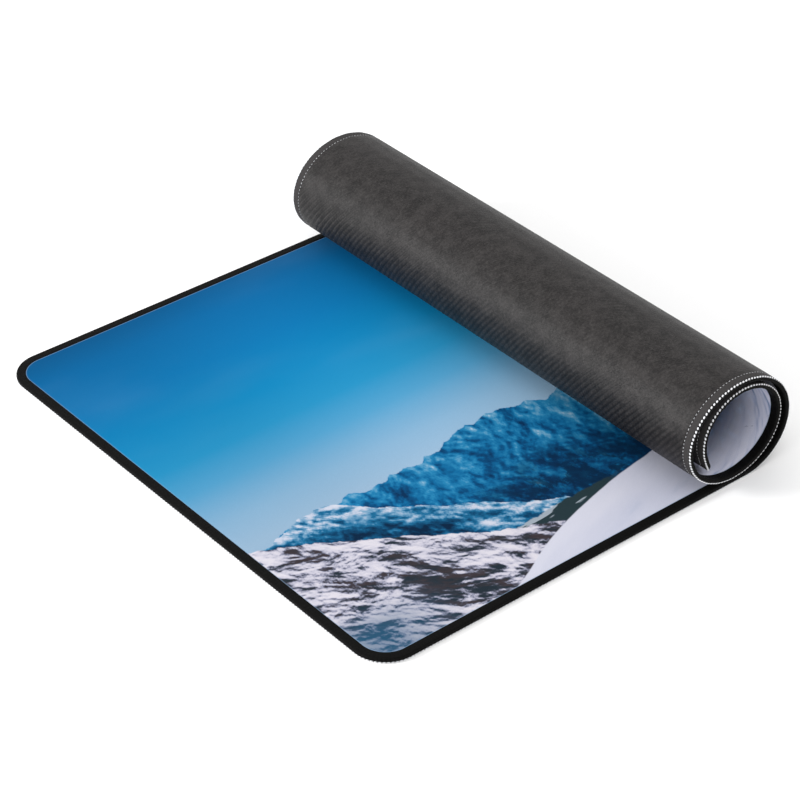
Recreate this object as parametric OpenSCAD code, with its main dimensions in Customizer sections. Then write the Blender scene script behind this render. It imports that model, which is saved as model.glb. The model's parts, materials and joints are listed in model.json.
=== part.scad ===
// Desk mat, half rolled up: a printed cloth face on a rubber base, with a sewn black edge.
// The origin is the middle of the flat half's underside. +X points to the roll,
// +Y runs along the roll and +Z is up. The rolled half is a chain of strips, and a hinge
// on the underside between two strips stands in for the bend there.

/* [Mat] */
// Width, along the roll
mat_width = 400; // [200:10:500]
// Length of the half that lies flat
flat_length = 300; // [150:10:400]
// Thickness of the printed cloth
cloth_thick = 0.5; // [0.3:0.1:0.8]
// Thickness of the rubber base
base_thick = 2.5; // [1.5:0.1:3]
// Radius of the mat's corners
corner_radius = 24; // [12:1:40]

/* [Sewn edge] */
// How far the edge binding reaches in from the rim
binding_width = 6.5; // [4:0.5:9]
// Thickness of the binding's thread over and under the mat
binding_thick = 0.4; // [0.2:0.1:0.5]
// Width of the white thread along the rim's lower corner
edge_thread_width = 1.1; // [0.6:0.1:1.5]
// Width of the needle thread under the mat
needle_thread_width = 0.4; // [0.3:0.1:0.6]

/* [Roll] */
// Number of strips in the rolled half
strips = 48; // [44:1:54]
// Angle that the rolled half turns through, about 1.9 turns
roll_turning = 685; // [500:5:690]
// Mean radius of the underside where the roll begins
roll_radius = 41; // [40:0.2:50]
// Drop of that radius over one turn
roll_tightening = 3.1; // [2:0.1:4]
// How far the roll is squashed into an oval
oval_depth = 6.9; // [0:0.1:8]
// Turning angle by which the oval leans
oval_lean = 19; // [0:1:40]
// How far the roll's weight flattens its outer turn
sag_depth = 8.4; // [0:0.1:9]
// Turning angle by which that flat place leans
sag_lean = 14.5; // [0:0.5:30]
// Share of the sag that is lost over one turn
sag_fading = 1.1; // [0.9:0.05:1.3]
// Gap between two strips
strip_gap = 0.25; // [0.1:0.05:0.4]

/* [Hidden] */
$fn = 96;
mat_thick = base_thick + cloth_thick;
rim_thick = mat_thick + binding_thick;
half_width = mat_width / 2;
roll_start = flat_length / 2;
free_edge = -flat_length / 2;
strip_turn = roll_turning / strips;

// Radius of the underside at a turning angle, counted from where the mat leaves the desk
function radius_at(turning) =
    let (turns = turning / 360)
    roll_radius - roll_tightening * turns
    + oval_depth * cos(2 * turning + oval_lean)
    - sag_depth * (1 - sag_fading * turns) * cos(turning + sag_lean);

strip_radius = [for (i = [0 : strips - 1]) radius_at((i + 0.5) * strip_turn)];
strip_length = [for (i = [0 : strips - 1]) strip_radius[i] * strip_turn * PI / 180];

// Unit direction from an arc's centre to its underside, as [x, z]
function outward(turning) = [sin(turning), -cos(turning)];

// Underside points between the strips, as [x, z]
function chain_point(i) =
    i == 0
        ? [roll_start, 0]
        : chain_point(i - 1)
            + strip_radius[i - 1] * (outward(i * strip_turn) - outward((i - 1) * strip_turn));

// Length of mat from a strip's middle to the mat's end
function length_after(i) =
    strip_length[i] / 2 + (i < strips - 1 ? strip_length[i + 1] / 2 + length_after(i + 1) : 0);

// Half width of a strip, less at the rounded corners of the mat's end
function strip_half_width(i) =
    let (into_corner = max(corner_radius - length_after(i), 0))
    half_width - corner_radius + sqrt(corner_radius ^ 2 - into_corner ^ 2);

function strip_name(i) = str("roll_strip_", i < 9 ? "0" : "", i + 1);

FLAT_NODES = ["rubber_base", "printed_cloth", "edge_binding", "edge_thread", "needle_thread"];

// Outline of the flat half, with its edge moved in. It stays open towards the roll.
module flat_outline(inset, past_end = 0) {
    radius = corner_radius - inset;
    x_low = free_edge + inset;
    x_high = roll_start - strip_gap / 2 + past_end;
    half = half_width - inset;
    translate([x_low + radius, -half])
        square([x_high - x_low - radius, 2 * half]);
    translate([x_low, radius - half])
        square([radius + 1, 2 * (half - radius)]);
    for (side = [-1, 1])
        translate([x_low + radius, side * (half - radius)])
            circle(r = radius);
}

module flat_layer(inset, z_low, z_high, past_end = 0) {
    translate([0, 0, z_low])
        linear_extrude(z_high - z_low)
            flat_outline(inset, past_end);
}

// A band round the flat half's free edges, between two insets
module flat_band(outer_inset, inner_inset, z_low, z_high) {
    difference() {
        flat_layer(outer_inset, z_low, z_high);
        flat_layer(inner_inset, z_low - 1, z_high + 1, 1);
    }
}

module rubber_base() {
    color("dimgray") {
        flat_layer(binding_width, 0, binding_thick);
        flat_layer(binding_thick, binding_thick, base_thick);
    }
}

module printed_cloth() {
    color("steelblue")
        flat_layer(binding_thick, base_thick, mat_thick);
}

module edge_binding() {
    color("black") {
        flat_band(0, binding_thick, binding_thick, mat_thick);
        flat_band(0, binding_width, mat_thick, rim_thick);
        flat_band(edge_thread_width, binding_width - needle_thread_width, 0, binding_thick);
    }
}

module edge_thread() {
    color("white")
        flat_band(0, edge_thread_width, 0, binding_thick);
}

module needle_thread() {
    color("gainsboro")
        flat_band(binding_width - needle_thread_width, binding_width, 0, binding_thick);
}

// Section of a strip across the mat: depth below the underside's radius, then width
module strip_section(radius, half) {
    inner_half = half - binding_width;
    polygon([
        [radius, -half],
        [radius, half],
        [radius - rim_thick, half],
        [radius - rim_thick, inner_half],
        [radius - mat_thick, inner_half],
        [radius - mat_thick, -inner_half],
        [radius - rim_thick, -inner_half],
        [radius - rim_thick, -half],
    ]);
}

module roll_strip(i) {
    radius = strip_radius[i];
    centre = chain_point(i) - radius * outward(i * strip_turn);
    gap_turn = strip_gap / radius * 180 / PI;
    color(i % 2 == 0 ? "steelblue" : "lightsteelblue")
        translate([centre[0], 0, centre[1]])
            rotate([-90, 0, 0])
                rotate([0, 0, 90 - (i + 1) * strip_turn + gap_turn / 2])
                    rotate_extrude(angle = strip_turn - gap_turn)
                        strip_section(radius, strip_half_width(i));
}

rubber_base();
printed_cloth();
edge_binding();
edge_thread();
needle_thread();
for (i = [0 : strips - 1])
    roll_strip(i);
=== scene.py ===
"""Desk mat, half rolled up: a printed cloth face on a rubber base, with a sewn black edge.

Everything is first made flat, in mat coordinates, and then laid on the desk and round the roll.
Mat coordinates are millimetres: s runs from the free edge to the end inside the roll, y across
the mat as in the frame, and h up from the underside. The rolled half is cut into segments, each
reaching from the middle of one CAD strip to the middle of the next and laid round the roll.
"""
import json
import math
import random

import bmesh
import bpy
import numpy as np
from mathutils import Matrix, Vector


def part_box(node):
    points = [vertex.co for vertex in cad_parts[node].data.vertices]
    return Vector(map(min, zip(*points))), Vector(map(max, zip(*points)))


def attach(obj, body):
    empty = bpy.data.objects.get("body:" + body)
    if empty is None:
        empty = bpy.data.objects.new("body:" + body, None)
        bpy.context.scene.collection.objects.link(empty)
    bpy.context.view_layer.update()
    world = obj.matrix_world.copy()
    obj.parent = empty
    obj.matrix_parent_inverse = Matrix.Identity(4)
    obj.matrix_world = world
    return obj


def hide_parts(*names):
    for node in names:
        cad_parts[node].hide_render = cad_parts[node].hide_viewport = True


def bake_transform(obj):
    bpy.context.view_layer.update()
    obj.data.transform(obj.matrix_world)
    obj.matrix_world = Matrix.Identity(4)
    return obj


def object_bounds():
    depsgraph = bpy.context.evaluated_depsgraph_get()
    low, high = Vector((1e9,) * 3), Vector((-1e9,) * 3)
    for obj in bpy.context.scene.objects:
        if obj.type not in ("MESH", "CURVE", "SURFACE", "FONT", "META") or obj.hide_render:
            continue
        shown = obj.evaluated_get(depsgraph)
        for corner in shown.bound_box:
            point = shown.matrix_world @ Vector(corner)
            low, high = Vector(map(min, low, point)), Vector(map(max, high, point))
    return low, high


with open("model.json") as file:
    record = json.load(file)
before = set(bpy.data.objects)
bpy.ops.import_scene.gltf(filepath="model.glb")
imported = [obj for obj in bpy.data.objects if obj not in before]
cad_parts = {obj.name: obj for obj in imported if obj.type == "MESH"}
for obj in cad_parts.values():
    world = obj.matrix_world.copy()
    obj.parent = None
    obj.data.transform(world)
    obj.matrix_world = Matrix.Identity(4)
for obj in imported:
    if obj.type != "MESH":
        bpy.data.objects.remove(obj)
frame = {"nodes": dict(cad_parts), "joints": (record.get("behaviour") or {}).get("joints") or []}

MM = 0.001
cad_low, cad_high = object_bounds()

# ------------------------------------------------------------------------------ sizes, mm
base_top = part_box("rubber_base")[1].z / MM
cloth_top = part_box("printed_cloth")[1].z / MM
half_width = cad_high.y / MM
free_edge = cad_low.x / MM
strip_names = sorted(n for n in frame["nodes"] if n.startswith("roll_strip_"))
strips = len(strip_names)

# The roll, with the names and values of part.scad
flat_length = -2 * free_edge
roll_turning = math.radians(685)
roll_radius = 41
roll_tightening = 3.1
oval_depth = 6.9
oval_lean = math.radians(19)
sag_depth = 8.4
sag_lean = math.radians(14.5)
sag_fading = 1.1
corner_radius = 24

binding_width = 6.5
binding_thick = 0.4
slab_inset = 0.4  # the cloth and the base end just inside the binding
binding_part, thread_part = 1, 2  # their places among the materials of a piece
stitch_pitch = 2.6  # one overlock stitch
looper_length = 1.85  # the white thread lying along the rim's lower corner
looper_width = 1.1
looper_in, looper_up = 0.45, 0.4  # its middle, in from the rim and up from the underside
looper_lean, looper_sway = 16, 3  # degrees across the rim, and how far it varies
needle_length = 1.4  # the small white stitches under the binding's inner edge
needle_width = 0.52
needle_in, needle_up = binding_width - 0.2, 0.16
needle_sway = 5
rim_lobe = 0.1  # how far the binding swells between two stitches
roll_row = 1.0  # spacing of the cross rows in the roll
flat_row = 12  # and in the flat half
field_inset = 12  # the layers' broad faces begin this far in from the rim
blend_inset = 0.45  # keeps a segment's end faces wholly on their own strips
flat_share = 0.35  # share of a segment's ripple that shows when rolled up, not laid flat
laying_rounds = 12  # of the search for a point's place in a segment
past_end = 1  # how far the outermost spans reach past the mat
cut_tolerance = 1e-5
end_tolerance = 1e-3
sharp_edge = math.radians(50)

strip_turn = roll_turning / strips


# --------------------------------------------------------------------------- the roll's path
def radius_at(turning):
    """Radius of the underside, from part.scad."""
    turns = turning / math.radians(360)
    sag = sag_depth * (1 - sag_fading * turns) * math.cos(turning + sag_lean)
    return roll_radius - roll_tightening * turns + oval_depth * math.cos(2 * turning + oval_lean) - sag


def outward(turning):
    """Unit vector (x, z) from an arc's centre to the underside, where the roll has turned that far."""
    return np.array([np.sin(turning), -np.cos(turning)])


strip_radius = [radius_at((i + 0.5) * strip_turn) for i in range(strips)]
strip_start = [flat_length]
arc_centre = []
point = np.array([flat_length / 2, 0.0])
for i, r in enumerate(strip_radius):
    arc_centre.append(point - r * outward(i * strip_turn))
    point = arc_centre[-1] + r * outward((i + 1) * strip_turn)
    strip_start.append(strip_start[-1] + r * strip_turn)
mat_length = strip_start[-1]
grazing_low, grazing_high = strip_start[17], strip_start[25]  # where the ribs, with their painted shade, show most: low on the roll, where the light grazes
strip_middle = [(a + b) / 2 for a, b in zip(strip_start, strip_start[1:])]


def place(points):
    """Frame positions in mm of mat points (s, y, h), at rest."""
    s, y, h = points.T
    strip = np.clip(np.searchsorted(strip_start, s, side="right") - 1, 0, strips - 1)
    radius = np.array(strip_radius)[strip]
    turning = strip * strip_turn + (s - np.array(strip_start)[strip]) / radius
    centre = np.array(arc_centre)[strip]
    on_roll = centre + (radius - h)[:, None] * outward(turning).T
    flat = s <= flat_length
    x = np.where(flat, s + free_edge, on_roll[:, 0])
    z = np.where(flat, h, on_roll[:, 1])
    return np.stack([x, y, z], 1)


# ------------------------------------------------------------------------------ the rim
class Rim:
    """The mat's outline as a path, from the middle of the free edge round and back to it."""

    def __init__(self):
        r = corner_radius
        side = mat_length - 2 * r
        across = 2 * (half_width - r)
        quarter = math.pi / 2 * r
        low, high = r, mat_length - r
        edge = half_width - r
        # kind, start or centre (s, y), heading or first angle, length
        self.parts = [
            ("line", (0, 0), (0, 1), across / 2),
            ("arc", (low, edge), math.pi, quarter),
            ("line", (low, half_width), (1, 0), side),
            ("arc", (high, edge), math.pi / 2, quarter),
            ("line", (mat_length, edge), (0, -1), across),
            ("arc", (high, -edge), 0, quarter),
            ("line", (high, -half_width), (-1, 0), side),
            ("arc", (low, -edge), -math.pi / 2, quarter),
            ("line", (0, -edge), (0, 1), across / 2),
        ]
        self.length = sum(p[3] for p in self.parts)

    def at(self, distance):
        """(s, y) on the rim and the unit vector from there into the mat."""
        distance %= self.length
        for kind, start, heading, length in self.parts:
            if distance <= length:
                break
            distance -= length
        if kind == "line":
            on = np.array(start) + distance * np.array(heading)
            return on, np.array([heading[1], -heading[0]], float)
        angle = heading - distance / corner_radius
        out = np.array([math.cos(angle), math.sin(angle)])
        return np.array(start) + corner_radius * out, -out

    def corners(self, steps):
        """Places along the rim that draw its outline: the ends of its lines, and steps in each corner."""
        before, places = 0, []
        for kind, _, _, length in self.parts:
            share = [k / steps for k in range(steps)] if kind == "arc" else [0]
            places += [before + length * k for k in share]
            before += length
        return places


rim = Rim()
stitches = round(rim.length / stitch_pitch)
stitch_step = rim.length / stitches


def inset_of(s, y):
    """Distance in from the rim."""
    ds = np.abs(s - mat_length / 2) - (mat_length / 2 - corner_radius)
    dy = np.abs(y) - (half_width - corner_radius)
    round_corner = np.hypot(np.maximum(ds, 0), np.maximum(dy, 0))
    return corner_radius - np.where((ds > 0) & (dy > 0), round_corner, np.maximum(ds, dy))


def along_of(s, y):
    """Distance along the rim from the middle of a long side."""
    ds = np.abs(s - mat_length / 2) - (mat_length / 2 - corner_radius)
    dy = np.abs(y) - (half_width - corner_radius)
    side = mat_length / 2 - corner_radius
    corner = side + corner_radius * np.arctan2(np.maximum(ds, 0), np.maximum(dy, 1e-6))
    end = side + corner_radius * math.pi / 2 - dy
    return np.where(ds <= 0, side + ds, np.where(dy > 0, corner, end))


# ---------------------------------------------------------------------- shapes, mat coordinates
class Shape:
    """Points (s, y, h), faces, and for each face which of its piece's materials it has."""

    def __init__(self, points, faces, finish=0):
        self.points = np.asarray(points, float).reshape(-1, 3)
        self.faces = [tuple(f) for f in faces]
        self.finish = [finish] * len(self.faces)


def ring_faces(stations, ring):
    """Faces between closed sections of that many points, one after another round the mat."""
    faces = []
    for i in range(stations):
        a, b = i * ring, (i + 1) % stations * ring
        faces += [(a + j, b + j, b + (j + 1) % ring, a + (j + 1) % ring) for j in range(ring)]
    return faces


def slab(section):
    """A layer of the mat, from its section at the rim: (inset, h) from its upper face to its lower one."""
    places = rim.corners(24)
    points = []
    for distance in places:
        on, inward = rim.at(distance)
        points += [(*(on + inset * inward), h) for inset, h in section]
    size = len(section)
    faces = [f for f in ring_faces(len(places), size) if f[0] % size != size - 1]
    faces.append([i * size for i in range(len(places))])
    faces.append([i * size + size - 1 for i in reversed(range(len(places)))])
    return Shape(points, faces)


def binding_profile(lobe):
    """The binding's section as (inset, h): over its outside, from the underside's inner edge to the top's,
    and back along its inside."""
    out = -lobe
    under = 0.12
    outside = [
        (6.15, 0.4), (5.9, under + 0.05), (5.2, under), (3.0, under - 0.02), (1.3, under), (0.55 + out, 0.22),
        (0.16 + out, 0.6), (0.03 + out, 1.2), (0.0 + out, 1.9), (0.08 + out, 2.6), (0.35 + out, 3.12),
        (0.95, 3.36), (2.2, 3.4), (4.2, 3.38), (5.7, 3.34), (6.3, 3.22), (6.5, 3.0),
    ]
    inside = [
        (6.3, 2.98), (3.0, 2.98), (slab_inset + 0.02, 2.9), (slab_inset, 1.5), (slab_inset + 0.02, 0.42),
        (3.0, 0.42),
    ]
    return outside + inside


def binding():
    """The black overlock binding all round, swelling a little between the stitches."""
    per_stitch = 4
    stations = stitches * per_stitch
    points = []
    for i in range(stations):
        on, inward = rim.at((i + 0.5) * stitch_step / per_stitch)
        wave = 0.5 - 0.5 * math.cos(2 * math.pi * (i + 0.5) / per_stitch)
        for inset, h in binding_profile(rim_lobe * (wave - 1)):
            points.append((*(on + inset * inward), h))
    return Shape(points, ring_faces(stations, len(binding_profile(0))), binding_part)


def thread_stitch(middle, heading, up, length, width, height, lean):
    """One short stitch: a fat bead of thread with tapered ends, lying along heading (s, y, h), at a lean."""
    heading, up = heading / np.linalg.norm(heading), up / np.linalg.norm(up)
    sideways = np.cross(up, heading)
    heading = heading * math.cos(lean) + sideways * math.sin(lean)
    sideways = np.cross(up, heading)
    sides = 8
    # place along the stitch and thickness there, as shares of its length and width
    sections = [(-0.47, 0.45), (-0.36, 0.82), (-0.15, 1.0), (0.15, 1.0), (0.36, 0.82), (0.47, 0.45)]
    points, faces = [], []
    for along, size in sections:
        for k in range(sides):
            turn = 2 * math.pi * k / sides
            across = sideways * (math.cos(turn) * width / 2 * size)
            offset = across + up * (math.sin(turn) * height / 2 * size)
            points.append(middle + heading * along * length + offset)
    rings = len(sections)
    for r in range(rings - 1):
        for k in range(sides):
            a, b = r * sides + k, r * sides + (k + 1) % sides
            faces.append((a, b, b + sides, a + sides))
    points += [middle - heading * length / 2, middle + heading * length / 2]
    tail, tip = len(points) - 2, len(points) - 1
    for k in range(sides):
        faces.append((tail, (k + 1) % sides, k))
        faces.append(((rings - 1) * sides + k, (rings - 1) * sides + (k + 1) % sides, tip))
    return Shape(points, faces, thread_part)


def thread():
    """Every white stitch as (its middle's s, shape): the looper thread along the rim's lower corner, and the
    needle thread along the binding's inner edge under the mat."""
    dice = random.Random(7)
    under = np.array([0, 0, -1.0])
    made = []
    for i in range(stitches):
        on, inward = rim.at((i + 0.5) * stitch_step)
        heading = np.array([-inward[1], inward[0], 0])
        middle = np.array([*(on + looper_in * inward), looper_up])
        corner = -np.array([*inward, 0]) * 0.5 + under * 0.85
        size = dice.uniform(0.94, 1.05)
        lean = math.radians(looper_lean + dice.uniform(-looper_sway, looper_sway))
        length, width = looper_length * size, looper_width
        made.append((on[0], thread_stitch(middle, heading, corner, length, width, width * 0.8, lean)))

        on, inward = rim.at((i + 0.1) * stitch_step)
        heading = np.array([-inward[1], inward[0], 0])
        middle = np.array([*(on + needle_in * inward), needle_up])
        lean = math.radians(dice.uniform(-needle_sway, needle_sway))
        length, width = needle_length * size, needle_width
        made.append((middle[0], thread_stitch(middle, heading, under, length, width, width * 0.75, lean)))
    return made


# ------------------------------------------------------------------------------ meshes
def cut(shape, first, last, row):
    """The part of a closed shape with s between first and last, its cut ends closed. If row is set, cross
    rows are cut about that far apart."""
    s = shape.points[:, 0]
    bm = bmesh.new()
    made = {}
    for face, finish in zip(shape.faces, shape.finish):
        if max(s[list(face)]) <= first or min(s[list(face)]) >= last:
            continue
        for v in face:
            if v not in made:
                made[v] = bm.verts.new(shape.points[v])
        bm.faces.new([made[v] for v in face]).material_index = finish
    for at, direction in ((first, -1), (last, 1)):
        everything = bm.verts[:] + bm.edges[:] + bm.faces[:]
        bmesh.ops.bisect_plane(bm, geom=everything, dist=cut_tolerance, plane_co=(at, 0, 0),
                               plane_no=(direction, 0, 0), clear_outer=True)
        open_edges = [e for e in bm.edges if e.is_boundary]
        ends = [e for e in open_edges if all(abs(v.co.x - at) < end_tolerance for v in e.verts)]
        bmesh.ops.holes_fill(bm, edges=ends, sides=0)
    count = round((last - first) / row) if row else 1
    for k in range(1, count):
        everything = bm.verts[:] + bm.edges[:] + bm.faces[:]
        bmesh.ops.bisect_plane(bm, geom=everything, dist=cut_tolerance,
                               plane_co=(first + k * (last - first) / count, 0, 0), plane_no=(1, 0, 0))
    return bm


def record_place(mesh, points):
    """Keeps each point's mat coordinates, and its place in the sewn edge, for the materials."""
    s, y, h = points.T
    edge_points = np.stack([along_of(s, y), inset_of(s, y), h], 1)
    for name, values in (("mat_place", points), ("edge_place", edge_points)):
        attribute = mesh.attributes.new(name, "FLOAT_VECTOR", "POINT")
        attribute.data.foreach_set("vector", values.astype(np.float32).ravel())


def turned(points, pivot, angles):
    """Points (x, y, z) turned about the Y axis through pivot (x, z), as a positive joint angle does."""
    x, z = points[:, 0] - pivot[0], points[:, 2] - pivot[1]
    c, s = np.cos(angles), np.sin(angles)
    return np.stack([pivot[0] + x * c + z * s, points[:, 1], pivot[1] - x * s + z * c], 1)


class Span:
    """A length of the mat between two bodies, or on one."""

    def __init__(self, first, last, body, onto=None, joint=None):
        self.first, self.last, self.body, self.onto = first, last, body, onto
        if onto:
            ends = place(np.array([[first, 0, 0], [last, 0, 0]]))
            chord = ends[1] - ends[0]
            inset = chord * blend_inset / np.linalg.norm(chord)
            self.start, self.end = ends[0] + inset, ends[1] - inset
            self.pivot = np.array([joint["pos_m"][0], joint["pos_m"][2]]) / MM
            self.opening = math.radians(joint["range_deg"][1])

    def lay(self, points):
        """Frame positions at rest. Bent exactly to the roll, each span would ripple when the mat is laid
        flat, so it takes a share of that ripple here."""
        rest = place(points)
        if not self.onto:
            return rest
        share = (points[:, 0] - self.first) / (self.last - self.first)
        first = place(np.stack([np.full(len(points), self.first), points[:, 1], points[:, 2]], 1))
        ends = place(np.array([[self.first, 0, 0], [self.last, 0, 0]]))
        opened = turned(ends[1:], self.pivot, np.array([self.opening]))[0]
        laid_flat = first + share[:, None] * (opened - ends[0])
        d = self.end - self.start
        guess = rest
        for _ in range(laying_rounds):
            t = np.clip((guess - self.start) @ d / (d @ d), 0, 1)
            guess = turned(laid_flat, self.pivot, -self.opening * t * t * (3 - 2 * t))
        inside = (share > 0) & (share < 1)
        return np.where(inside[:, None], rest + flat_share * (guess - rest), rest)

    def fix(self, piece):
        if self.onto:
            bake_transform(piece)
        else:
            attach(piece, self.body)


def joined(bm, other):
    """Adds a mesh to bm."""
    mesh = bpy.data.meshes.new("part")
    other.to_mesh(mesh)
    other.free()
    bm.from_mesh(mesh)
    bpy.data.meshes.remove(mesh)


def piece(name, span, shapes, materials, slot, small=()):
    """An object of the parts of shapes within a span, each given as (shape, spacing of its rows), and of
    whole small shapes."""
    bm = bmesh.new()
    for shape, row in shapes:
        joined(bm, cut(shape, span.first, span.last, row))
    for shape in small:
        corners = [bm.verts.new(p) for p in shape.points]
        for face, finish in zip(shape.faces, shape.finish):
            bm.faces.new([corners[v] for v in face]).material_index = finish
    bmesh.ops.recalc_face_normals(bm, faces=bm.faces[:])
    for face in bm.faces:
        face.smooth = True
    for edge in bm.edges:
        if len(edge.link_faces) == 2 and edge.calc_face_angle(0) > sharp_edge:
            edge.smooth = False
    mesh = bpy.data.meshes.new(name)
    bm.to_mesh(mesh)
    bm.free()
    points = np.array([v.co for v in mesh.vertices], float).reshape(-1, 3)
    record_place(mesh, points)
    mesh.vertices.foreach_set("co", (span.lay(points) * MM).astype(np.float32).ravel())
    mesh.update()
    made = bpy.data.objects.new(name, mesh)
    bpy.context.scene.collection.objects.link(made)
    for material in materials:
        mesh.materials.append(material)
    span.fix(made)
    return made


# ------------------------------------------------------------------------------ materials
class Nodes:
    """A material and short ways to add nodes to it."""

    def __init__(self, name, roughness, specular=0.5):
        self.material = bpy.data.materials.new(name)
        self.material.use_nodes = True
        self.tree = self.material.node_tree
        self.shader = next(n for n in self.tree.nodes if n.type == "BSDF_PRINCIPLED")
        self.shader.inputs["Roughness"].default_value = roughness
        self.shader.inputs["Specular IOR Level"].default_value = specular

    def put(self, socket, value):
        if isinstance(value, bpy.types.NodeSocket):
            self.tree.links.new(value, socket)
        elif value is not None:
            socket.default_value = value

    def node(self, kind, inputs=(), **settings):
        made = self.tree.nodes.new(kind)
        for key, value in settings.items():
            setattr(made, key, value)
        for key, value in dict(inputs).items():
            self.put(made.inputs[key], value)
        return made

    def math(self, operation, a, b=None, c=None):
        made = self.node("ShaderNodeMath", {0: a}, operation=operation)
        if b is not None:
            self.put(made.inputs[1], b)
        if c is not None:
            self.put(made.inputs[2], c)
        return made.outputs[0]

    def axes(self, attribute):
        source = self.node("ShaderNodeAttribute", attribute_name=attribute).outputs["Vector"]
        parts = self.node("ShaderNodeSeparateXYZ", {0: source})
        return source, parts.outputs[0], parts.outputs[1], parts.outputs[2]

    def vector(self, x=0.0, y=0.0, z=0.0):
        return self.node("ShaderNodeCombineXYZ", {0: x, 1: y, 2: z}).outputs[0]

    def noise(self, at, scale, detail=3, roughness=0.55, distortion=0.0, ridged=False):
        made = self.node("ShaderNodeTexNoise", {
            "Vector": at, "Scale": scale, "Detail": detail, "Roughness": roughness, "Distortion": distortion,
        })
        if ridged:
            made.noise_type = "RIDGED_MULTIFRACTAL"
            made.inputs["Offset"].default_value = 1.0
            made.inputs["Gain"].default_value = 2.0
        return made.outputs[0]

    def step(self, value, low, high):
        """0 below low, 1 above high, smooth between. High may be the lower one."""
        return self.node("ShaderNodeMapRange", {0: value, 1: low, 2: high, 3: 0.0, 4: 1.0},
                         interpolation_type="SMOOTHSTEP").outputs[0]

    def scaled(self, value, low, high, to_low, to_high):
        return self.node("ShaderNodeMapRange", {0: value, 1: low, 2: high, 3: to_low, 4: to_high}).outputs[0]

    def waves(self, value, pitch):
        """From 0 to 1 and back each time the value grows by pitch."""
        turning = self.math("MULTIPLY", value, 2 * math.pi / pitch)
        return self.math("MULTIPLY_ADD", self.math("SINE", turning), 0.5, 0.5)

    def mix(self, share, a, b, blend="MIX"):
        made = self.node("ShaderNodeMix", data_type="RGBA", blend_type=blend)
        self.put(made.inputs[0], share)
        self.put(made.inputs[6], a)
        self.put(made.inputs[7], b)
        return made.outputs[2]

    def times(self, colour, factor):
        return self.mix(1.0, colour, (factor, factor, factor, 1), "MULTIPLY")

    def ramp(self, value, stops):
        made = self.node("ShaderNodeValToRGB", {0: value})
        marks = made.color_ramp.elements
        while len(marks) < len(stops):
            marks.new(0.5)
        for mark, (position, colour) in zip(marks, stops):
            mark.position = position
            mark.color = colour
        return made.outputs[0]

    def curve(self, value, points):
        """A smooth curve through points (from, to), for from 0 to 1."""
        made = self.node("ShaderNodeFloatCurve", {1: value})
        line = made.mapping.curves[0]
        made.mapping.use_clip = False
        while len(line.points) < len(points):
            line.points.new(0.5, 0.5)
        for mark, at in zip(line.points, points):
            mark.location = at
        made.mapping.update()
        return made.outputs[0]

    def bump(self, height, distance, strength=1.0):
        """Height from 0 to 1 over that many mm."""
        inputs = {"Height": height, "Distance": distance * MM, "Strength": strength}
        made = self.node("ShaderNodeBump", inputs)
        self.tree.links.new(made.outputs[0], self.shader.inputs["Normal"])
        return made

    def colour(self, value):
        self.put(self.shader.inputs["Base Color"], value)

    def rough(self, value):
        self.put(self.shader.inputs["Roughness"], value)


def rgb(r, g, b):
    """A linear colour from an 8-bit sRGB one."""
    lin = [c / 255 / 12.92 if c <= 10.3 else ((c / 255 + 0.055) / 1.055) ** 2.4 for c in (r, g, b)]
    return (*lin, 1)


print_depth = 0.72  # the ink's lightness under the studio light


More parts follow.
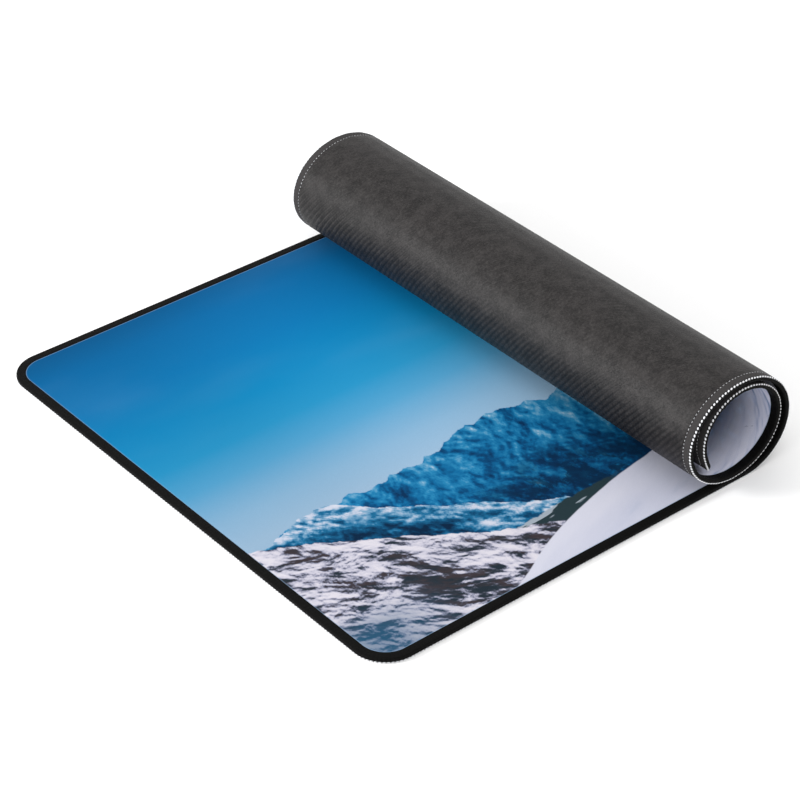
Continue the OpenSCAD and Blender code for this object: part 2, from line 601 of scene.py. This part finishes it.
def landscape(m, s, y):
    """The print: a generic alpine view, made of a sky, a far range, a nearer shoulder, a gorge, a rocky
    foreground and a smooth snow slope. It is drawn in mat coordinates, with y as the height of things."""
    picture_length = 750.0
    span = m.math("DIVIDE", s, picture_length)

    def skyline(points, swing, scale, fine, seed):
        """Height of a ridge along s: a curve through points, with sharp crests of noise about swing mm high,
        scale of them per mm, and finer noise of fine mm."""
        low, high = -220, 80
        shares = [(along / picture_length, (up - low) / (high - low)) for along, up in points]
        base = m.scaled(m.curve(span, shares), 0.0, 1.0, low, high)
        line = m.vector(s, seed, 0.0)
        folded = m.math("ABSOLUTE", m.math("MULTIPLY_ADD", m.noise(line, scale, 2, 0.5), 4.0, -2.0))
        crests = m.math("MULTIPLY_ADD", folded, -swing, 0.5 * swing)
        small = m.math("MULTIPLY_ADD", m.noise(line, scale * 5, 5, 0.65), 2 * fine, -fine)
        return m.math("ADD", base, m.math("ADD", crests, small))

    def below(line, blur):
        """1 under a ridge and 0 over it, within blur mm."""
        return m.step(m.math("SUBTRACT", line, y), -blur, blur)

    def drawn_out(slope, stretch, seed, shift=0.0):
        """Coordinates drawn out along a direction that falls by slope mm for each mm of s."""
        length = math.hypot(1, slope)
        run = m.math("MULTIPLY_ADD", s, 1 / length, m.math("MULTIPLY", y, -slope / length))
        side = m.math("MULTIPLY_ADD", s, slope / length, m.math("MULTIPLY_ADD", y, 1 / length, shift))
        return m.vector(m.math("DIVIDE", run, stretch), side, seed)

    def relief(slope, stretch, scale, seed, step_mm, gain, detail=7, ridged=False):
        """Light and shade on rough ground, about 0.5: the steepness of a noise across its ridges, taken over
        step_mm and multiplied by gain. The ridges fall by slope."""
        here = m.noise(drawn_out(slope, stretch, seed), scale, detail, 0.6, 0.2, ridged)
        beside = m.noise(drawn_out(slope, stretch, seed, step_mm), scale, detail, 0.6, 0.2, ridged)
        return m.math("MULTIPLY_ADD", m.math("SUBTRACT", beside, here), gain, 0.5)

    # Sky, paler towards the horizon
    sky_low, sky_high = -60, 200
    stops = [(-60, (156, 187, 214)), (-32, (138, 180, 212)), (5, (84, 162, 206)), (35, (40, 148, 198)),
             (70, (14, 136, 191)), (120, (10, 119, 179)), (165, (9, 106, 165)), (200, (10, 86, 138))]
    height = m.scaled(y, sky_low, sky_high, 0.0, 1.0)
    sky = m.ramp(height, [((v - sky_low) / (sky_high - sky_low), rgb(*c)) for v, c in stops])
    veil = m.step(m.noise(m.vector(m.math("MULTIPLY", s, 0.4), y), 0.012, 3, 0.5), 0.45, 0.75)
    sky = m.mix(m.math("MULTIPLY", veil, 0.06), sky, rgb(150, 190, 220))
    # Painted light: the sky is made up to 1.15 times lighter towards the roll, partly the picture and partly
    # light painted against the shade the roll casts on the mat
    sky = m.mix(m.step(s, 60.0, 190.0), sky, m.times(sky, 1.15))

    # Far range: snow near its crest, blue faces, and dark crags lower down
    far = skyline([
        (0, -72), (45, -66), (75, -62), (110, -64), (160, -62), (205, -52), (250, -58), (320, -56),
        (420, -40), (520, -60), (640, -42), (750, -58),
    ], 13, 0.022, 3.0, 3.0)
    depth = m.math("SUBTRACT", far, y)
    faces = m.math("ADD", relief(4.0, 1.3, 0.014, 8.0, 3.0, 0.5, 6, ridged=True),
                   relief(-1.2, 1.2, 0.012, 7.0, 5.0, 1.9, 10))
    faces = m.math("SUBTRACT", faces, 0.5)
    faces = m.math("ADD", faces, m.scaled(depth, 0.0, 70.0, 0.10, -0.10))
    patchy = m.noise(drawn_out(3.0, 1.4, 9.0), 0.16, 5, 0.7)
    faces = m.math("ADD", faces, m.math("MULTIPLY_ADD", patchy, 0.30, -0.15))
    lit = m.ramp(faces, [
        (0.26, rgb(8, 52, 92)), (0.40, rgb(10, 82, 132)), (0.50, rgb(18, 112, 166)), (0.62, rgb(44, 140, 190)),
        (0.76, rgb(112, 174, 210)), (0.88, rgb(208, 222, 238)),
    ])
    gloom = m.step(depth, 30.0, 85.0)
    crags = m.step(m.noise(drawn_out(2.5, 1.4, 10.0), 0.07, 7, 0.72, 0.3), 0.46, 0.54)
    lit = m.mix(m.math("MULTIPLY", gloom, m.scaled(crags, 0.0, 1.0, 0.35, 0.9)), lit, rgb(8, 42, 72))
    picture = m.mix(below(far, 0.5), sky, lit)

    # A nearer shoulder running down to the right, its snow in long streaks
    shoulder = skyline([
        (0, -74), (35, -66), (62, -58), (100, -84), (150, -118), (190, -146), (240, -162), (300, -170),
        (420, -200), (560, -205), (750, -205),
    ], 6, 0.04, 3.0, 11.0)
    bank = m.math("ADD", relief(0.9, 1.6, 0.02, 15.0, 3.0, 0.3, 6, ridged=True),
                  relief(-2.0, 1.2, 0.02, 14.0, 3.0, 1.3, 9))
    bank = m.math("SUBTRACT", bank, 0.5)
    bank = m.math("ADD", bank, m.scaled(m.math("SUBTRACT", shoulder, y), 0.0, 40.0, 0.12, -0.10))
    streaks = m.noise(drawn_out(0.8, 3.0, 16.0), 0.10, 6, 0.7)
    bank = m.math("ADD", bank, m.math("MULTIPLY_ADD", streaks, 0.60, -0.30))
    bank_colour = m.ramp(bank, [
        (0.30, rgb(8, 40, 70)), (0.42, rgb(14, 74, 114)), (0.52, rgb(34, 116, 162)), (0.60, rgb(120, 168, 202)),
        (0.70, rgb(206, 214, 232)), (0.9, rgb(228, 231, 243)),
    ])
    picture = m.mix(below(shoulder, 0.5), picture, bank_colour)

    # A dark gorge with a streak of light
    mouth = m.math("MULTIPLY", m.step(s, 110.0, 125.0), m.step(s, 246.0, 222.0))
    bed = m.math("ADD", y, m.math("MULTIPLY", m.noise(m.vector(s, 3.0), 0.08, 3, 0.6), 8.0))
    bed = m.math("MULTIPLY_ADD", s, -0.05, m.math("ADD", bed, 9.0))
    gorge = m.math("MULTIPLY", mouth, m.step(bed, -144.0, -145.5))
    light = m.step(m.noise(drawn_out(-0.1, 7.0, 31.0), 0.16, 3, 0.5), 0.58, 0.62)
    gorge_colour = m.mix(light, rgb(42, 60, 66), rgb(166, 178, 190))
    picture = m.mix(gorge, picture, gorge_colour)

    # Rocky foreground on the left: wind-blown snow with dark outcrops
    ground = skyline([
        (0, -64), (30, -76), (60, -95), (95, -116), (135, -143), (170, -160), (230, -196), (300, -215),
        (750, -218),
    ], 4, 0.05, 2.5, 17.0)
    rough = relief(0.8, 2.0, 0.06, 21.0, 2.0, 2.0, 10)
    outcrops = m.noise(drawn_out(0.7, 1.8, 25.0), 0.05, 8, 0.68, 0.6)
    rough = m.math("ADD", rough, m.scaled(outcrops, 0.38, 0.62, 0.24, -0.22))
    warm = m.step(m.noise(drawn_out(0.7, 3.0, 29.0), 0.12, 4, 0.6), 0.40, 0.62)
    stone = m.mix(warm, rgb(40, 52, 62), rgb(70, 60, 64))
    ground_colour = m.ramp(rough, [
        (0.30, rgb(34, 44, 52)), (0.42, rgb(84, 88, 104)), (0.50, rgb(150, 152, 174)),
        (0.58, rgb(208, 206, 222)), (0.75, rgb(230, 226, 236)),
    ])
    ground_colour = m.mix(m.math("MULTIPLY", m.step(rough, 0.47, 0.36), 0.8), ground_colour, stone)
    hollow = m.math("MULTIPLY", m.step(y, -140.0, -176.0), m.step(s, 85.0, 15.0))
    ground_colour = m.mix(m.math("MULTIPLY", hollow, 0.7), ground_colour, rgb(40, 98, 134))
    picture = m.mix(below(ground, 0.6), picture, ground_colour)

    # The smooth snow slope in front
    slope = skyline([
        (0, -219), (60, -214), (112, -194), (175, -166), (270, -145), (380, -136), (450, -150), (540, -168),
        (640, -164), (750, -130),
    ], 1.0, 0.02, 0.4, 41.0)
    drift = m.noise(drawn_out(-0.35, 3.5, 43.0), 0.018, 3, 0.5)
    ripple = relief(-0.4, 5.0, 0.05, 47.0, 2.0, 1.6, 4)
    rippled = m.scaled(s, 300.0, 480.0, 0.12, 1.3)
    snow = m.math("MULTIPLY_ADD", m.math("SUBTRACT", ripple, 0.5), rippled, drift)
    slope_colour = m.ramp(snow, [
        (0.22, rgb(92, 116, 158)), (0.32, rgb(166, 178, 208)), (0.42, rgb(208, 211, 230)),
        (0.60, rgb(221, 222, 237)),
    ])
    tracks = m.step(m.noise(drawn_out(0.7, 2.5, 5.0), 0.10, 5, 0.7, 0.6), 0.64, 0.70)
    slope_colour = m.mix(m.math("MULTIPLY", tracks, m.step(s, 400.0, 480.0)), slope_colour, rgb(96, 110, 146))
    # Painted light: inside the roll the snow slope is made 1.35 times lighter, against the shade inside the
    # roll
    slope_colour = m.mix(m.step(s, 380.0, 480.0), slope_colour, m.times(slope_colour, 1.35))
    mist = m.scaled(s, 360.0, 470.0, 0.6, 24.0)  # inside the roll the slope fades into the range
    slope_share = m.step(m.math("SUBTRACT", slope, y), m.math("MULTIPLY", mist, -1.0), mist)
    return m.mix(slope_share, picture, slope_colour)


def cloth_material():
    """Fine polyester weave with the picture printed on its upper face, and dark at its cut sides."""
    m = Nodes("printed_cloth", 0.8, 0.04)
    at, s, y, h = m.axes("mat_place")
    _, _, inset, _ = m.axes("edge_place")
    picture = m.times(landscape(m, s, y), print_depth)
    thread_pitch = 0.55
    warp = m.math("SINE", m.math("MULTIPLY", s, 2 * math.pi / thread_pitch))
    weft = m.math("SINE", m.math("MULTIPLY", y, 2 * math.pi / thread_pitch))
    weave = m.math("MULTIPLY_ADD", m.math("MULTIPLY", warp, weft), 0.5, 0.5)
    slub = m.noise(at, 1.7, 3, 0.6)
    height = m.math("ADD", m.math("MULTIPLY", weave, 0.7), m.math("MULTIPLY", slub, 0.5))
    picture = m.mix(m.math("MULTIPLY", weave, 0.07), picture, (0, 0, 0, 1))
    picture = m.mix(m.step(slub, 0.5, 0.7), picture, m.times(picture, 1.12))
    # Painted highlight: a pale line on the cloth just inside the binding, where light catches its raised edge
    rim_highlight = m.math("MULTIPLY", m.step(inset, binding_width + 0.6, binding_width + 0.35), 0.42)
    picture = m.mix(rim_highlight, picture, rgb(140, 170, 200))
    side = m.step(h, cloth_top - 0.12, cloth_top - 0.02)
    m.colour(m.mix(side, rgb(34, 34, 38), picture))
    m.rough(m.scaled(weave, 0.0, 1.0, 0.85, 0.74))
    m.bump(height, 0.05, 0.8)
    return m.material


def rubber_material():
    """Dark, warm grey rubber with a leather-like grain, and ribs and finer threads that slant across it. The
    ribs also carry painted shade, strongest low on the roll where the light grazes.
    """
    m = Nodes("rubber_base", 0.55, 0.18)
    at, s, y, h = m.axes("mat_place")
    rib_slant = 0.79  # mm across the mat for each mm along it
    rib_pitch, thread_pitch = 4.5, 2.25
    rib_fading = 16
    grain = m.noise(at, 1.1, 5, 0.65)
    cells = m.node("ShaderNodeTexVoronoi", {"Vector": at, "Scale": 1.25, "Randomness": 1.0})
    pores = cells.outputs["Distance"]
    twill = m.math("MULTIPLY_ADD", s, -rib_slant, y)
    lines = m.noise(m.vector(m.math("MULTIPLY", s, 0.35), y, h), 2.2, 2, 0.5)
    dashes = m.step(m.noise(m.vector(s, m.math("MULTIPLY", y, 0.25), h), 1.4, 2, 0.5), 0.52, 0.64)
    threads = m.math("MULTIPLY", m.waves(twill, thread_pitch), m.step(m.noise(at, 0.03, 3, 0.6), 0.42, 0.62))
    uneven = m.math("MULTIPLY_ADD", m.noise(at, 0.05, 2, 0.5), 2.0, twill)
    # Painted shade: the ribs are drawn darkest in this band low on the roll, where the light grazes them;
    # patches elsewhere show them faintly
    begun = m.step(s, grazing_low, grazing_low + rib_fading)
    grazing_band = m.math("MULTIPLY", begun, m.step(s, grazing_high, grazing_high - rib_fading))
    patches = m.step(m.noise(at, 0.012, 2, 0.5), 0.30, 0.65)
    plainness = m.math("MULTIPLY_ADD", grazing_band, 0.8, m.math("MULTIPLY", patches, 0.2))
    ribs_and_rib_shade = m.math("MULTIPLY", m.waves(uneven, rib_pitch), plainness)
    cloudy = m.noise(at, 0.02, 3, 0.55)
    mottled = m.noise(at, 0.11, 4, 0.6)
    speckle = m.noise(at, 0.5, 3, 0.7)
    tone = m.mix(m.step(cloudy, 0.3, 0.7), rgb(31, 29, 29), rgb(38, 35, 35))
    tone = m.mix(m.math("MULTIPLY", m.step(grain, 0.40, 0.66), 0.5), tone, rgb(56, 53, 52))
    tone = m.mix(m.math("MULTIPLY", m.step(pores, 0.42, 0.10), 0.6), tone, rgb(15, 14, 14))
    tone = m.mix(m.math("MULTIPLY", dashes, 0.4), tone, rgb(17, 16, 16))
    tone = m.mix(m.math("MULTIPLY", threads, 0.45), tone, rgb(16, 15, 15))
    tone = m.mix(m.math("MULTIPLY", m.step(speckle, 0.48, 0.66), 0.4), tone, rgb(62, 60, 59))
    tone = m.mix(m.math("MULTIPLY", m.step(speckle, 0.50, 0.34), 0.4), tone, rgb(16, 15, 15))
    tone = m.mix(m.math("MULTIPLY", m.step(mottled, 0.40, 0.68), 0.22), tone, rgb(72, 69, 68))
    tone = m.mix(m.math("MULTIPLY", m.step(mottled, 0.50, 0.30), 0.35), tone, rgb(18, 17, 17))
    # Painted shade: the ribs' dark lines stand for their shadows under grazing light
    tone = m.mix(m.math("MULTIPLY", ribs_and_rib_shade, 0.7), tone, rgb(11, 11, 12))
    m.colour(tone)
    m.rough(m.scaled(grain, 0.3, 0.7, 0.60, 0.44))
    height = m.math("MULTIPLY", grain, 0.55)
    for layer, share in ((m.step(pores, 0.05, 0.45), 0.35), (lines, 0.35), (threads, 0.3), (ribs_and_rib_shade, -0.8)):
        height = m.math("ADD", height, m.math("MULTIPLY", layer, share))
    m.bump(height, 0.22, 0.9)
    return m.material


def binding_material():
    """Black overlock thread, wound side by side over the edge, and lighter grey where it lies underneath:
    partly the thread's own grey, partly a painted sheen like the one the rubber beside it gets from the light.
    """
    m = Nodes("edge_binding", 0.6, 0.05)
    at, along, inset, h = m.axes("edge_place")
    wind_pitch = stitch_pitch / 4
    lean = m.math("MULTIPLY_ADD", inset, 0.10, along)
    wobble = m.math("MULTIPLY_ADD", m.noise(at, 0.9, 2, 0.5), 0.22, lean)
    winding = m.waves(wobble, wind_pitch)
    stitch = m.waves(lean, stitch_pitch)
    fibres = m.noise(m.vector(m.math("MULTIPLY", along, 3.0), inset, h), 2.4, 3, 0.6)
    tone = m.mix(winding, rgb(4, 4, 4), rgb(16, 16, 15))
    tone = m.mix(m.math("MULTIPLY", m.step(fibres, 0.5, 0.75), 0.35), tone, rgb(24, 25, 26))
    tone = m.mix(m.math("MULTIPLY", m.step(stitch, 0.75, 1.0), 0.35), tone, rgb(2, 2, 3))
    # Painted sheen, partly the thread's own grey: the binding's underside is lightened towards the rubber's
    # grey
    grey_and_sheen_underneath = m.math("MULTIPLY", m.step(h, 0.5, 0.28), m.step(inset, 0.8, 1.5))
    tone = m.mix(m.math("MULTIPLY", grey_and_sheen_underneath, m.scaled(winding, 0.0, 1.0, 0.65, 1.0)), tone, rgb(64, 62, 62))
    m.colour(tone)
    m.rough(m.scaled(winding, 0.0, 1.0, 0.72, 0.5))
    height = m.math("ADD", m.math("MULTIPLY", winding, 0.7), m.math("MULTIPLY", fibres, 0.35))
    m.bump(height, 0.16, 0.9)
    return m.material


def thread_material():
    """White polyester thread of two plies; the needle thread, far in from the rim, is greyer."""
    m = Nodes("white_thread", 0.5, 0.4)
    at, along, inset, h = m.axes("edge_place")
    twist = m.math("MULTIPLY_ADD", inset, 1.4, along)
    twist = m.math("MULTIPLY_ADD", h, 1.2, twist)
    ply_pitch = 0.5
    plies = m.waves(twist, ply_pitch)
    dirt = m.noise(at, 0.7, 3, 0.6)
    tone = m.mix(plies, rgb(205, 207, 212), rgb(246, 246, 248))
    tone = m.mix(m.math("MULTIPLY", m.step(dirt, 0.55, 0.75), 0.25), tone, rgb(176, 176, 180))
    needle = m.step(inset, 3.0, 4.0)
    tone = m.mix(m.math("MULTIPLY", needle, m.scaled(dirt, 0.4, 0.6, 0.35, 0.75)), tone, rgb(96, 96, 98))
    m.colour(tone)
    m.rough(m.scaled(plies, 0.0, 1.0, 0.6, 0.42))
    m.bump(plies, 0.06, 0.7)
    return m.material


def floor_material():
    """Plain, nearly white floor."""
    m = Nodes("pale_floor", 0.9, 0.1)
    m.colour((0.97, 0.97, 0.97, 1))
    return m.material


cloth_finish = cloth_material()
rubber_finish = rubber_material()
binding_finish = binding_material()
thread_finish = thread_material()

# ------------------------------------------------------------------------------ the mat
recess = binding_thick + 0.02  # the binding lies in it, so that the mat's underside is level
base_section = [
    (field_inset, base_top), (slab_inset, base_top), (slab_inset, recess), (6.3, recess), (6.48, 0.08),
    (6.75, 0), (field_inset, 0),
]
cloth_section = [
    (field_inset, cloth_top), (0.7, cloth_top), (slab_inset, cloth_top - 0.1), (slab_inset, base_top),
    (field_inset, base_top),
]
whole_base = slab(base_section)
whole_cloth = slab(cloth_section)
whole_binding = binding()
whole_thread = thread()
joints = {j["child"]: j for j in frame["joints"]}


def stitches_in(span):
    return [shape for s, shape in whole_thread if span.first <= s < span.last]


flat = Span(-past_end, flat_length, "root")
# Materials, listed so that binding_part and thread_part find theirs
cloth_only = [cloth_finish]
base_to_binding = [rubber_finish, binding_finish]
base_to_thread = [rubber_finish, binding_finish, thread_finish]
base = piece("rubber_base_flat", flat, [(whole_base, flat_row)], [rubber_finish], "rubber_base")
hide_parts("rubber_base")
cloth = piece("printed_cloth_flat", flat, [(whole_cloth, flat_row)], cloth_only, "printed_cloth")
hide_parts("printed_cloth")
edge = piece("edge_binding_flat", flat, [(whole_binding, None)], base_to_binding, "edge_binding")
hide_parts("edge_binding")
sewing = piece("white_thread_flat", flat, [], base_to_thread, "white_thread", stitches_in(flat))
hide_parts("edge_thread", "needle_thread")

spans = []
before, body = flat_length, "root"
for middle, strip in zip(strip_middle, strip_names):
    spans.append(Span(before, middle, body, strip, joints[strip]))
    before, body = middle, strip
spans.append(Span(before, mat_length + past_end, body))

for number, span in enumerate(spans, 1):
    base = piece(f"base_and_edge_{number:02d}", span, [(whole_base, roll_row), (whole_binding, None)],
                 base_to_thread, "rolled_mat", stitches_in(span))
    cloth = piece(f"printed_cloth_{number:02d}", span, [(whole_cloth, roll_row)], cloth_only, "printed_cloth")
    if span.onto:
        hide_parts(span.onto)

# ------------------------------------------------------------------------------ the studio
floor_size = 6.0
floor_drop = 0.0003  # clear of the mat's underside
bpy.ops.mesh.primitive_grid_add(x_subdivisions=4, y_subdivisions=4, size=floor_size,
                                location=(0, 0, -floor_drop))
floor = bpy.context.object
floor.name = "studio_floor"
floor.data.materials.append(floor_material())

world = bpy.data.worlds.new("studio")
bpy.context.scene.world = world
world.use_nodes = True
sky_light = world.node_tree.nodes["Background"]
sky_light.inputs["Color"].default_value = (1, 1, 1, 1)
sky_light.inputs["Strength"].default_value = 1.0


def soft_light(name, place_m, aim, size, power):
    """A round area light that shines at aim."""
    data = bpy.data.lights.new(name, "AREA")
    data.shape = "DISK"
    data.size = size
    data.energy = power
    lamp = bpy.data.objects.new(name, data)
    bpy.context.scene.collection.objects.link(lamp)
    lamp.location = place_m
    lamp.rotation_euler = (Vector(aim) - Vector(place_m)).to_track_quat("-Z", "Y").to_euler()


mat_middle = (cad_low + cad_high) / 2
soft_light("key", (-2.2, 1.3, 1.05), mat_middle, 1.0, 66)
soft_light("top", (-0.4, -0.6, 1.8), mat_middle, 1.2, 5)

camera_aim = Vector((0.0347, 0.0050, 0.0))
camera_azimuth = math.radians(-39.61)
camera_elevation = math.radians(35.11)
camera_distance = 1.7777
camera_lens = 120.98
camera_sensor = 36

data = bpy.data.cameras.new("camera")
data.lens = camera_lens
data.sensor_width = camera_sensor
camera = bpy.data.objects.new("camera", data)
bpy.context.scene.collection.objects.link(camera)
level = math.cos(camera_elevation)
away = Vector((
    math.sin(camera_azimuth) * level, -math.cos(camera_azimuth) * level, math.sin(camera_elevation),
))
camera.location = camera_aim + away * camera_distance
camera.rotation_mode = "QUATERNION"
camera.rotation_quaternion = (-away).to_track_quat("-Z", "Y")
bpy.context.scene.camera = camera
bpy.context.scene.view_settings.view_transform = "Standard"
